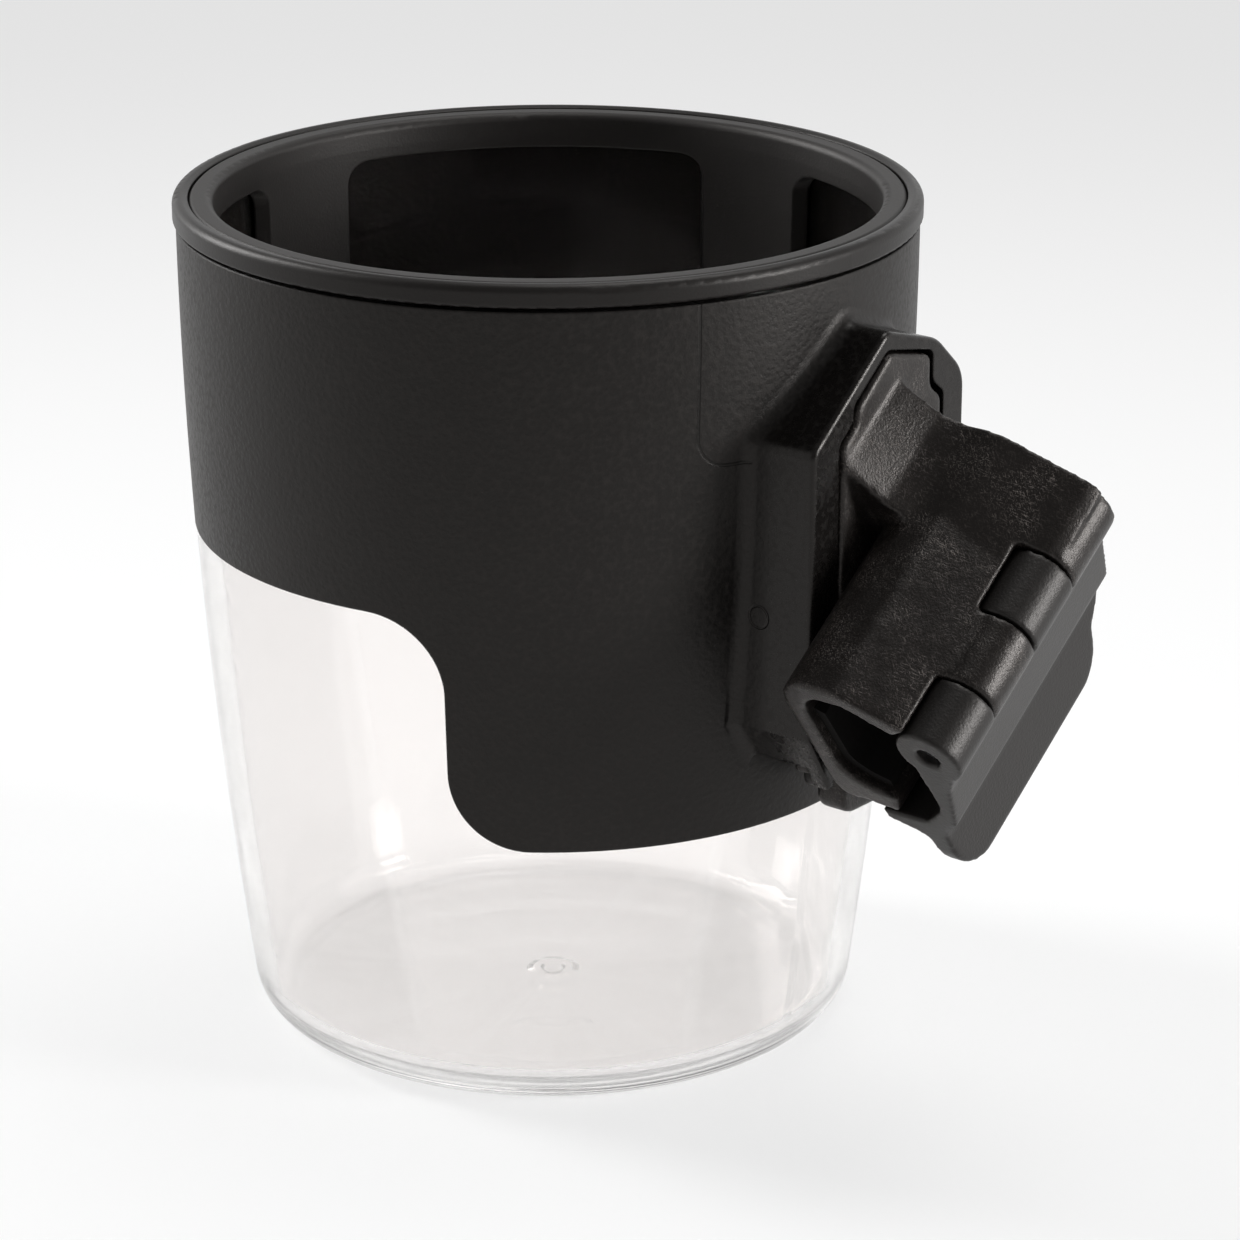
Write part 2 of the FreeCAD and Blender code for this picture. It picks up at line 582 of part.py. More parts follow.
def clamp_rod(name, radius, start, stop):
    """A cylinder on the hinge axis, from start to stop along the tube."""
    body = new_body(name)
    sketch = body.newObject("Sketcher::SketchObject", name + "_circle")
    sketch.AttachmentSupport = (plane(body, "XY_Plane"), "")
    sketch.MapMode = "FlatFace"
    sketch.setExpression("AttachmentOffset.Base.z", bound(start))
    centre = V(size("pin_a"), size("pin_b"), 0)
    sketch.addGeometry(Part.Circle(centre, V(0, 0, 1), size(radius)), False)
    index = sketch.addConstraint(Sketcher.Constraint("Radius", 0, size(radius)))
    sketch.setExpression("Constraints[%d]" % index, bound(radius))
    pin_point(sketch, 0, 3, ("pin_a", "pin_b"))
    feature = body.newObject("PartDesign::Pad", name + "_pad")
    feature.Profile = sketch
    feature.setExpression("Length", bound("(%s) - (%s)" % (stop, start)))
    body.Tip = feature
    return bind_to_clamp(body)


def make_tongue():
    """Flange behind the socket's face, keyed head in its opening, and the tab below."""
    flange = new_body("tongue_flange")
    pad(flange, "YZ_Plane", socket_outline("socket_wall + slide_gap", "tongue_foot"),
        "tongue_back", "face_x - face_plate - slide_gap / 2")
    head = new_body("tongue_head")
    pad(head, "YZ_Plane", gate_outline("slide_gap", "tongue_foot"),
        "face_x - face_plate - head_root", "face_x + tongue_proud")
    tab = new_body("tongue_tab")
    pad(tab, "YZ_Plane", upright("tab_half", "tab_foot", "tongue_foot + overlap", "tab_corner"),
        "tab_back", "face_x + tongue_proud")
    return boolean("MultiFuse", "tongue", [flange, head, tab])


def jaw_zones(name, radius):
    """Cylinders round the hinge pin where the jaw has its knuckles."""
    near = clamp_rod(name + "_near", radius, "knuckle_three", "tube_length")
    middle = clamp_rod(name + "_middle", radius, "knuckle_one", "knuckle_two")
    return [near, middle]


def body_zones(name, radius, start="0", grow="0"):
    """Cylinders round the hinge pin where the clamp body has its knuckles."""
    near = clamp_rod(name + "_near", radius, "knuckle_two - (%s)" % grow, "knuckle_three + (%s)" % grow)
    far = clamp_rod(name + "_far", radius, start, "knuckle_one + (%s)" % grow)
    return [near, far]


def neck_section(dip, saddle, ridge, left, out, right):
    """One end of the neck, from the tongue's head over the saddle's crest to the far knuckle."""
    back = "tab_back - face_x + neck_root"
    crest = [(run, "shell_crest + %s" % rise) for run, rise in (dip, saddle, ridge)]
    swell = [("pin_a + %s" % run, "pin_b + %s" % rise) for run, rise in (left, out, right)]
    return [
        (back, "neck_cap + neck_cap_rise"), ("neck_cap_run", "neck_cap"), *crest, *swell,
        ("pin_a", "pin_b"), ("pin_a - knuckle_radius + overlap", "pin_b + overlap"),
        ("shell_left + crest_run", "bore_top + neck_cover"), ("shell_left + overlap", "bore_top + neck_cover"),
        ("shell_left + overlap", "-neck_buried"), (back, "-neck_buried"),
    ]


def make_neck():
    """A ruled loft: high at the far end of the tube, sunk into the saddle where it stops."""
    neck = new_body("clamp_neck")
    far = new_sketch(neck, "XY_Plane", neck_section(
        ("far_dip_run", "far_dip"), ("far_saddle_run", "far_saddle"), ("far_ridge_run", "far_ridge"),
        ("swell_left", "swell_top"), ("swell_out", "swell_high"), ("swell_right", "swell_low")), "neck_start")
    near = new_sketch(neck, "XY_Plane", neck_section(
        ("near_dip_run", "near_dip"), ("near_saddle_run", "near_saddle"), ("near_ridge_run", "near_ridge"),
        ("sunk_left", "sunk_top"), ("sunk_out", "sunk_high"), ("sunk_right", "sunk_low")), "neck_length")
    loft = neck.newObject("PartDesign::AdditiveLoft", "clamp_neck_loft")
    loft.Profile = far
    loft.Sections = [near]
    loft.Ruled = True
    neck.Tip = loft
    return bind_to_clamp(neck)


def make_clamp_body():
    shell = clamp_prism("clamp_shell", [
        ("pin_a - knuckle_root", "pin_b + knuckle_radius + knuckle_rise / 3"),
        ("shell_left + crest_run + knuckle_rise", "shell_crest", "crest_round"),
        ("shell_left", "shell_crest", "left_round"),
        ("shell_left", "shell_foot", "heel_round"),
        ("shell_left + heel_run", "shell_foot + heel_drop", "heel_round"),
        ("limb_end - limb_round", "limb_foot", "limb_round"),
        ("limb_end", "limb_top", "limb_round"),
        ("limb_end - limb_back", "limb_top + limb_slope", "heel_round"),
        ("bore_left", "shell_foot + fillet_rise", "crest_round"),
        ("bore_left", "bore_top", "bore_round"),
        ("shell_left + crest_run", "bore_top", "heel_round"),
        ("pin_a - (knuckle_radius - root_sink) * cos(root_angle)",
         "pin_b + (knuckle_radius - root_sink) * sin(root_angle)"),
    ])
    neck = make_neck()
    web_back = "tongue_proud - overlap"
    web = clamp_prism("clamp_web", [
        (web_back, "web_top"), ("shell_left + overlap", "web_top"),
        ("shell_left + overlap", "web_foot"), (web_back, "web_foot"),
    ], "web_near", "tube_length - web_far")
    window = new_body("web_window")
    pad(window, "YZ_Plane", gate_outline("slide_gap"), "face_x - overlap", "room")
    inner_web = boolean("MultiCommon", "web_fill", [web, window])
    neck_fill = boolean("MultiCommon", "neck_fill", [neck, neck_limit()])
    knuckles = body_zones("body_knuckle", "knuckle_radius")
    solid = boolean("MultiFuse", "clamp_solid", [shell, neck_fill, inner_web, make_tongue()] + knuckles)
    relief = []
    for name, start, stop in (("near", "knuckle_three - end_gap", "tube_length + overcut"),
                              ("middle", "knuckle_one - end_gap", "knuckle_two + end_gap")):
        relief.append(clamp_rod("relief_" + name, "knuckle_radius + knuckle_gap", start, stop))
        relief.append(clamp_prism("slot_" + name, [
            ("slot_a", "pin_b"), ("slot_a + overcut", "pin_b"), ("slot_a + overcut", "0"), ("slot_a", "0"),
        ], start, stop))
    bore = clamp_rod("body_bore", "hinge_pin_radius", "-overcut", "tube_length + overcut")
    cuts = boolean("MultiFuse", "clamp_cuts", relief + [bore])
    return boolean("Cut", "clamp_body", (solid, cuts))


def neck_limit():
    """Keeps the neck outside the socket's face except where the opening lets it in."""
    outside = new_body("neck_outside")
    pad(outside, "YZ_Plane", upright("room", "0", "rim_top + room"), "face_x + slide_gap", "face_x + room")
    inside = new_body("neck_inside")
    pad(inside, "YZ_Plane", gate_outline("slide_gap"), "tab_back", "face_x + room")
    return boolean("MultiFuse", "neck_room", [outside, inside])


def make_jaw():
    wall = clamp_prism("jaw_wall", [
        ("pin_a - jaw_root_in", "pin_b"),
        ("jaw_inner", "jaw_floor + jaw_round", "jaw_round"),
        ("jaw_inner - heel_set", "jaw_floor", "bend_round"),
        ("lip_end", "jaw_floor"),
        ("lip_end + knuckle_rise", "lip_foot + lip_nose", "limb_round"),
        ("jaw_inner - tab_set - tab_edge", "lip_foot - lip_sag", "bend_round"),
        ("tab_a", "tab_drop", "tab_edge"),
        ("tab_a + tab_thick", "tab_drop", "tab_edge"),
        ("jaw_inner - tab_set + tab_thick + tab_web", "lip_foot + overlap", "jaw_round"),
        ("jaw_outer - jaw_heel", "jaw_floor + overlap", "bend_round"),
        ("jaw_outer", "pin_b - jaw_shoulder", "jaw_round"),
        ("pin_a + jaw_root_out", "pin_b - jaw_root_drop"),
    ])
    outline = new_body("jaw_outline")
    pad(outline, "YZ_Plane", [
        ("knuckle_radius", "0"), ("knuckle_radius", "tube_length"),
        ("tab_drop", "tube_length", "tab_round"), ("tab_drop", "tab_far", "tab_round"),
        ("lip_foot - tab_far", "tab_far", "tab_step_round"), ("lip_foot", "0", "tab_step_round"),
    ], "0", "room")
    bind_to_clamp(outline)
    blade = boolean("MultiCommon", "jaw_blade", [wall, outline])
    relief = boolean("MultiFuse", "jaw_relief",
                     body_zones("jaw_gap", "knuckle_radius + knuckle_gap", "-overcut", "end_gap"))
    blade_cut = boolean("Cut", "jaw_blade_cut", (blade, relief))
    solid = boolean("MultiFuse", "jaw_solid", [blade_cut] + jaw_zones("jaw_knuckle", "knuckle_radius"))
    bore = clamp_rod("jaw_bore", "hinge_pin_radius + pin_clear", "-overcut", "tube_length + overcut")
    return boolean("Cut", "clamp_jaw", (solid, bore))


def make_hinge_pin():
    return clamp_rod("hinge_pin", "hinge_pin_radius", "pin_inset", "tube_length - pin_inset")


def make_body_pad():
    """Lining strip that runs down the saddle's wall and along the fixed limb."""
    seat = "bore_left + pad_gap"
    face = seat + " + pad_thick"
    bend = "limb_end - limb_back"
    tip = "limb_end - body_pad_foot"
    return clamp_prism("body_pad", [
        (seat, "bore_top - body_pad_top"),
        (seat, "shell_foot + fillet_rise + pad_gap", "crest_round"),
        (bend, "limb_top + limb_slope + pad_gap", "heel_round"),
        (tip, "limb_top + limb_slope * body_pad_foot / limb_back + pad_gap"),
        (tip, "limb_top + limb_slope * body_pad_foot / limb_back + pad_gap + pad_thick"),
        (bend + " + pad_bend", "limb_top + limb_slope + pad_gap + pad_thick", "heel_round"),
        (face, "shell_foot + fillet_rise + pad_bend", "crest_round"),
        (face, "bore_top - body_pad_top - pad_slope"),
    ], "pad_end", "tube_length - pad_end")


def make_jaw_pad():
    """Lining strip on the jaw's wall, its ends sloped on the side that meets the tube."""
    seat = "jaw_inner - jaw_pad_gap"
    face = seat + " - pad_thick"
    top = "pin_b - jaw_pad_top"
    foot = "jaw_floor + jaw_pad_foot"
    return clamp_prism("jaw_pad", [
        (seat, top), (seat, foot), (face, foot + " + pad_slope"), (face, top + " - pad_slope"),
    ], "pad_end", "tube_length - pad_end")


pieces = [make_cup(), make_sleeve(), make_rim(), make_liner(), make_latch(), make_latch_pin(),
          make_latch_spring(), make_clamp_body(), make_jaw(), make_hinge_pin(),
          make_body_pad(), make_jaw_pad()]
doc.recompute()

for item in doc.Objects:
    if "Invalid" in item.State or "Error" in item.State:
        raise RuntimeError("%s did not build: %s" % (item.Label, item.State))
os.makedirs("parts", exist_ok=True)
for piece in pieces:
    if piece.Shape.isNull() or not piece.Shape.isValid():
        raise RuntimeError("%s has no valid shape" % piece.Label)
    piece.Shape.exportStep("parts/%s.step" % piece.Label)
    box = piece.Shape.BoundBox
    print("%-14s solids %d volume %9.1f  z %6.1f..%6.1f" % (
        piece.Label, len(piece.Shape.Solids), piece.Shape.Volume, box.ZMin, box.ZMax))
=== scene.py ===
import math

import bmesh
import bpy
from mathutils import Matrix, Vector


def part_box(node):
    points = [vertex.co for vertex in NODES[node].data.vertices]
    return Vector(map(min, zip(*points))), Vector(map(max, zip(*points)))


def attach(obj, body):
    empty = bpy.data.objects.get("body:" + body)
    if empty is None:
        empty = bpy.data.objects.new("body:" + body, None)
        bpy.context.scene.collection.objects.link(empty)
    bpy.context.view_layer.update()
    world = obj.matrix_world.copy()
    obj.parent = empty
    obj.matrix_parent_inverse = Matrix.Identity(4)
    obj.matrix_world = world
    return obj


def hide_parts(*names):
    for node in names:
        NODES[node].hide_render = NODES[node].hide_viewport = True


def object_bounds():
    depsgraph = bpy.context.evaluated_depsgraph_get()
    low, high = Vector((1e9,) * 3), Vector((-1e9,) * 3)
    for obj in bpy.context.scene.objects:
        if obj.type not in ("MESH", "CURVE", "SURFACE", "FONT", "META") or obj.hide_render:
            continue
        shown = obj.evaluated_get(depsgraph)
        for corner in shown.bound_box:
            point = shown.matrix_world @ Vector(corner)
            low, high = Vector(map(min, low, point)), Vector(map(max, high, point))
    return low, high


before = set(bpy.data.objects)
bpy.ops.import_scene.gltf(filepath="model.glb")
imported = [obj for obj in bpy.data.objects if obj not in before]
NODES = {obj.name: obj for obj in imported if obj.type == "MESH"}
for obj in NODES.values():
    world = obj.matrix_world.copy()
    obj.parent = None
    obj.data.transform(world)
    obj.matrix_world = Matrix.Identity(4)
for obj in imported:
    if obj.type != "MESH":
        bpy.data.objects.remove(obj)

bl_info = {
    "name": "Clamp-on Cup Holder",
    "version": (1, 0, 0),
    "blender": (4, 5, 0),
    "location": "View3D > Sidebar > Cup Holder",
    "description": "Finishes and studio for a cup holder with a tilted tube clamp",
    "category": "Object",
}

MM = 0.001
SLEEVE_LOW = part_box("sleeve")[0]
CAD_LOW, CAD_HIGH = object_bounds()
SHELL_RADIUS = -SLEEVE_LOW.x

BLACK_TINT = (1, 0.95, 0.91, 1)
SATIN_TINT = (1, 0.96, 0.93, 1)
NYLON_TINT = (1, 0.94, 0.90, 1)
MARK_DEPTH = 0.10 * MM
MERGE_DISTANCE = 0.001 * MM
SMOOTHING = 0.5
CLAMP_VOXEL = 0.34 * MM
CLAMP_PASSES = 12
JAW_VOXEL = 0.28 * MM
JAW_PASSES = 6
LIGHT_SPREAD = math.radians(70)
LEFT_SHARE = 1.3
RIGHT_SHARE = 0.85


# ---- sizes and colours that a user may change --------------------------------------------

class PlasticSettings(bpy.types.PropertyGroup):
    """Colours and textures of the moulded parts."""

    black: bpy.props.FloatVectorProperty(
        name="Black", description="Colour of the sleeve, rim and jaw",
        subtype="COLOR", size=3, min=0, max=1, default=(0.0062, 0.0054, 0.0050))
    nylon: bpy.props.FloatVectorProperty(
        name="Clamp black", description="Colour of the glass-filled clamp body",
        subtype="COLOR", size=3, min=0, max=1, default=(0.0050, 0.0040, 0.0036))
    fibre: bpy.props.FloatVectorProperty(
        name="Fibre", description="Colour of the glass fibres that show in the clamp body",
        subtype="COLOR", size=3, min=0, max=1, default=(0.110, 0.096, 0.088))
    clear: bpy.props.FloatVectorProperty(
        name="Clear", description="Tint of the clear cup",
        subtype="COLOR", size=3, min=0, max=1, default=(0.985, 0.965, 0.955))
    grain_size: bpy.props.FloatProperty(
        name="Grain size", description="Width of one bump of the sleeve's grain",
        subtype="DISTANCE", unit="LENGTH", default=0.48 * MM)
    grain_height: bpy.props.FloatProperty(
        name="Grain height", description="Height of the sleeve's grain",
        subtype="DISTANCE", unit="LENGTH", default=0.055 * MM)
    edge_radius: bpy.props.FloatProperty(
        name="Edge radius", description="Rounding that the light finds on moulded edges",
        subtype="DISTANCE", unit="LENGTH", default=0.45 * MM)
    insert_half: bpy.props.FloatProperty(
        name="Insert half width", description="Half the width of the mould insert behind the socket",
        subtype="DISTANCE", unit="LENGTH", default=22.8 * MM)
    insert_foot: bpy.props.FloatProperty(
        name="Insert foot", description="Height of the lower edge of the mould insert",
        subtype="DISTANCE", unit="LENGTH", default=86.0 * MM)
    insert_round: bpy.props.FloatProperty(
        name="Insert corner", description="Rounding of the mould insert's lower corners",
        subtype="DISTANCE", unit="LENGTH", default=4.0 * MM)
    pin_place: bpy.props.FloatVectorProperty(
        name="Pin mark", description="Middle of the ejector pin's mark on the socket's side",
        subtype="TRANSLATION", unit="LENGTH", size=3, default=(45.9 * MM, -15.5 * MM, 66.6 * MM))
    pin_radius: bpy.props.FloatProperty(
        name="Pin radius", description="Radius of the ejector pin's mark",
        subtype="DISTANCE", unit="LENGTH", default=1.4 * MM)


class StudioSettings(bpy.types.PropertyGroup):
    """Camera, lights and floor."""

    azimuth: bpy.props.FloatProperty(
        name="Azimuth", description="Direction from the cup to the camera, from +X",
        subtype="ANGLE", unit="ROTATION", default=math.radians(-50.9))
    elevation: bpy.props.FloatProperty(
        name="Elevation", description="Height of the camera above the horizon",
        subtype="ANGLE", unit="ROTATION", default=math.radians(19.85))
    distance: bpy.props.FloatProperty(
        name="Distance", description="From the camera to the point it looks at",
        subtype="DISTANCE", unit="LENGTH", default=0.561)
    aim: bpy.props.FloatVectorProperty(
        name="Aim", description="Point that the camera looks at",
        subtype="TRANSLATION", unit="LENGTH", size=3, default=(0.0, 0.0144, 0.0474))
    lens: bpy.props.FloatProperty(
        name="Lens", description="Focal length in millimetres", default=121.36)
    floor_size: bpy.props.FloatProperty(
        name="Floor", description="Radius of the floor",
        subtype="DISTANCE", unit="LENGTH", default=6.0)
    sky: bpy.props.FloatProperty(
        name="Sky", description="Brightness of the white room near the horizon", default=0.95)
    zenith: bpy.props.FloatProperty(
        name="Zenith", description="Brightness of the room's ceiling", default=0.15)
    dim: bpy.props.FloatProperty(
        name="Dim side", description="Brightness of the room behind the camera", default=0.10)
    floor_glow: bpy.props.FloatProperty(
        name="Floor glow", description="Light that the floor gives off by itself", default=0.66)
    floor_white: bpy.props.FloatProperty(
        name="Floor white", description="Share of the light that the floor sends back", default=0.28)
    top_light: bpy.props.FloatProperty(
        name="Top light", description="Power of the softbox overhead, in watts", default=0.7)
    side_light: bpy.props.FloatProperty(
        name="Side light", description="Power of the strip lights, in watts", default=1.2)


# ---- shader maths --------------------------------------------------------------------------

class Value:
    """A number on its way through some nodes: sums on it add Math nodes."""

    def __init__(self, graph, socket):
        self.graph = graph
        self.socket = socket

    def math(self, operation, *terms):
        return self.graph.node("ShaderNodeMath", {"operation": operation}, dict(enumerate(terms)))

    def __add__(self, other):
        return self.math("ADD", self, other)

    def __sub__(self, other):
        return self.math("SUBTRACT", self, other)

    def __rsub__(self, other):
        return self.math("SUBTRACT", other, self)

    def __mul__(self, other):
        return self.math("MULTIPLY", self, other)

    __radd__ = __add__
    __rmul__ = __mul__

    def size(self):
        return self.math("ABSOLUTE", self)

    def over(self, floor):
        return self.math("MAXIMUM", self, floor)

    def root(self):
        return self.math("SQRT", self)

    def step(self, start, stop):
        """0 before start, 1 after stop and smooth between them."""
        return self.graph.node(
            "ShaderNodeMapRange", {"interpolation_type": "SMOOTHSTEP"},
            {"Value": self, "From Min": start, "From Max": stop, "To Min": 0.0, "To Max": 1.0})


class Graph:
    """A tree of shader nodes."""

    def __init__(self, tree):
        self.tree = tree

    def node(self, kind, settings, inputs, output=0):
        """Adds a node: its settings first, then the values or links of its sockets."""
        made = self.tree.nodes.new(kind)
        for key, setting in settings.items():
            setattr(made, key, setting)
        for key, given in inputs.items():
            if isinstance(given, Value):
                self.tree.links.new(given.socket, made.inputs[key])
            else:
                made.inputs[key].default_value = given
        return Value(self, made.outputs[output])

    def split(self, vector):
        """The three parts of a vector."""
        return [self.node("ShaderNodeSeparateXYZ", {}, {"Vector": vector}, axis) for axis in "XYZ"]


class Finish(Graph):
    """One procedural material: its nodes, with the shader at their end."""

    def __init__(self, name):
        self.material = bpy.data.materials.new(name)
        self.material.use_nodes = True
        super().__init__(self.material.node_tree)
        self.tree.nodes.clear()
        self.place = self.node("ShaderNodeTexCoord", {}, {}, "Object")

    def noise(self, size, detail=2.0, vector=None):
        """Noise of a given feature size in metres, about 0 to 1."""
        return self.node(
            "ShaderNodeTexNoise", {},
            {"Vector": vector or self.place, "Scale": 1 / size, "Detail": detail,
             "Roughness": 0.5, "Distortion": 0.0}, "Fac")

    def cells(self, size):
        """Distance to the middle of soft-edged cells of a given size in metres."""
        return self.node(
            "ShaderNodeTexVoronoi", {"feature": "SMOOTH_F1"},
            {"Vector": self.place, "Scale": 1 / size, "Smoothness": 1.0}, "Distance")

    def stretched(self, scale, turn=(0, 0, 0)):
        """Object coordinates turned and scaled, for marks that run one way."""
        return self.node(
            "ShaderNodeMapping", {"vector_type": "TEXTURE"},
            {"Vector": self.place, "Rotation": turn, "Scale": scale}, "Vector")

    def mix(self, factor, low, high):
        """A colour between two others."""
        return self.node(
            "ShaderNodeMix", {"data_type": "RGBA"},
            {"Factor": factor, 6: low, 7: high}, 2)

    def soft_edges(self, radius):
        """The normal as it would be with the edges rounded."""
        return self.node("ShaderNodeBevel", {"samples": 6}, {"Radius": radius}, "Normal")

    def bump(self, height, normal=None):
        """A normal that follows a height in metres."""
        inputs = {"Height": height, "Distance": 1.0, "Strength": 1.0}
        if normal:
            inputs["Normal"] = normal
        return self.node("ShaderNodeBump", {}, inputs, "Normal")

    def surface(self, **sockets):
        """Ends the material in a Principled shader; underscores in names stand for spaces."""
        inputs = {name.replace("_", " "): given for name, given in sockets.items()}
        shader = self.node("ShaderNodeBsdfPrincipled", {}, inputs, "BSDF")
        out = self.tree.nodes.new("ShaderNodeOutputMaterial")
        self.tree.links.new(shader.socket, out.inputs["Surface"])
        return self.material


def colour(shade, lift=1.0):
    """A colour socket's value from a shade, made lighter or darker."""
    return (shade[0] * lift, shade[1] * lift, shade[2] * lift, 1.0)


# ---- finishes -------------------------------------------------------------------------------

def grained_black(settings):
    """Sleeve: spark-eroded grain, a mould insert's witness line and a pin mark on the socket's side."""
    finish = Finish("grained_black")
    x, y, z = finish.split(finish.place)
    pebbles = finish.cells(settings.grain_size * 1.35)
    pores = finish.noise(settings.grain_size * 0.55)
    grain = pebbles * 0.75 + pores * 0.5
    radius = (x * x + y * y).root()
    facing = finish.node("ShaderNodeMath", {"operation": "ARCTAN2"}, {0: y, 1: x})
    across = (facing * radius).size() - (settings.insert_half - settings.insert_round)
    below = (settings.insert_foot + settings.insert_round) - z
    corner = across.over(0.0) * across.over(0.0) + below.over(0.0) * below.over(0.0)
    outline = (corner.root() - settings.insert_round).size()
    shell = 1 - radius.step(SHELL_RADIUS + 0.1 * MM, SHELL_RADIUS + 0.5 * MM)
    witness = (1 - outline.step(0.08 * MM, 0.26 * MM)) * shell
    smooth = radius.step(SHELL_RADIUS + 0.5 * MM, SHELL_RADIUS + 3.4 * MM)
    strength = 1 - smooth * 0.72
    pin_x, pin_y, pin_z = settings.pin_place
    flat_side = 1 - (y - pin_y).size().step(0.05 * MM, 0.12 * MM)
    pin = ((x - pin_x) * (x - pin_x) + (z - pin_z) * (z - pin_z)).root() - settings.pin_radius
    pin_mark = (1 - pin.size().step(0.06 * MM, 0.22 * MM)) * flat_side
    height = grain * settings.grain_height * strength - (witness + pin_mark) * MARK_DEPTH
    crest = grain.step(0.45, 0.95)
    # Colour mix: random tone from broad noise, a painted highlight that makes the grain's crests
    # lighter, and a darker witness line.
    tone_and_crest_highlight = finish.noise(9 * MM, 3) * 0.35 + crest * (1 - smooth * 0.6) * 0.65 - witness * 0.8
    base = finish.mix(tone_and_crest_highlight, colour(settings.black, 0.45), colour(settings.black, 2.3))
    rough = 0.44 + crest * 0.14 - smooth * 0.20
    return finish.surface(
        Base_Color=base, Roughness=rough, Specular_IOR_Level=0.26, Specular_Tint=BLACK_TINT,
        Normal=finish.bump(height, finish.soft_edges(settings.edge_radius)))


def satin_black(settings, name="rim_black", roughness=0.34, texture=0.022 * MM, lift=1.0, level=0.26):
    """Satin moulded plastic with a fine tool texture."""
    finish = Finish(name)
    fine = finish.noise(0.35 * MM, 3)
    broad = finish.noise(14 * MM, 2)
    base = finish.mix(
        broad * 0.5 + fine * 0.5, colour(settings.black, 0.5 * lift), colour(settings.black, 1.8 * lift))
    rough = roughness + broad * 0.06 + fine * 0.06
    return finish.surface(
        Base_Color=base, Roughness=rough, Specular_IOR_Level=level, Specular_Tint=SATIN_TINT,
        Normal=finish.bump(fine * texture, finish.soft_edges(settings.edge_radius)))


def fibre_black(settings):
    """Glass-filled nylon: brown-black, with fine light fibres lying every way."""
    finish = Finish("nylon_black")
    flecks = None
    for turn in (0.4, 1.5, 2.6):
        along = finish.stretched((2.2, 0.35, 0.35), (0.5 * turn, 0.9 * turn, turn))
        streak = finish.noise(0.42 * MM, 2, vector=along).step(0.57, 0.72)
        flecks = streak if flecks is None else flecks + streak
    patches = finish.noise(5 * MM, 3).step(0.35, 0.75)
    fleck = flecks * (0.10 + patches * 0.65)
    grit = finish.noise(0.28 * MM, 3)
    waviness = finish.noise(3.2 * MM, 2)
    base = finish.mix(fleck, colour(settings.nylon), colour(settings.fibre))
    rough = 0.28 + grit * 0.16 - fleck * 0.05
    height = grit * (0.05 * MM) + waviness * (0.12 * MM) + fleck * (0.02 * MM)
    return finish.surface(
        Base_Color=base, Roughness=rough, Specular_IOR_Level=0.32, Specular_Tint=NYLON_TINT,
        Normal=finish.bump(height))


def clear_plastic(settings):
    """Clear moulded cup with faint flow waves."""
    finish = Finish("clear_plastic")
    waves = finish.noise(18 * MM, 1) * (0.03 * MM)
    haze = 0.015 + finish.noise(30 * MM, 2) * 0.03
    return finish.surface(
        Base_Color=colour(settings.clear), Roughness=haze, IOR=1.49,
        Transmission_Weight=1.0, Alpha=0.9, Normal=finish.bump(waves))


def soft_rubber(settings):
    """Matt lining of the clamp's bore."""
    finish = Finish("rubber_black")
    grit = finish.noise(0.5 * MM, 3)
    base = finish.mix(grit, colour(settings.black, 0.3), colour(settings.black, 1.1))
    return finish.surface(
        Base_Color=base, Roughness=0.72 + grit * 0.15, Specular_IOR_Level=0.10,
        Normal=finish.bump(grit * (0.03 * MM)))


def bright_steel():
    """Turned steel of the pins and the latch's leaf."""
    finish = Finish("steel")
    scratch = finish.noise(0.6 * MM, 2, vector=finish.stretched((1, 8, 1)))
    base = finish.mix(scratch, (0.36, 0.36, 0.37, 1), (0.56, 0.56, 0.57, 1))
    return finish.surface(
        Base_Color=base, Metallic=1.0, Roughness=0.24 + scratch * 0.16,
        Normal=finish.bump(scratch * (0.003 * MM)))


def paint(node, material):
    """Gives a CAD node its finish."""
    for place in NODES[node].material_slots:
        place.material = material


# ---- operators ----------------------------------------------------------------------------------

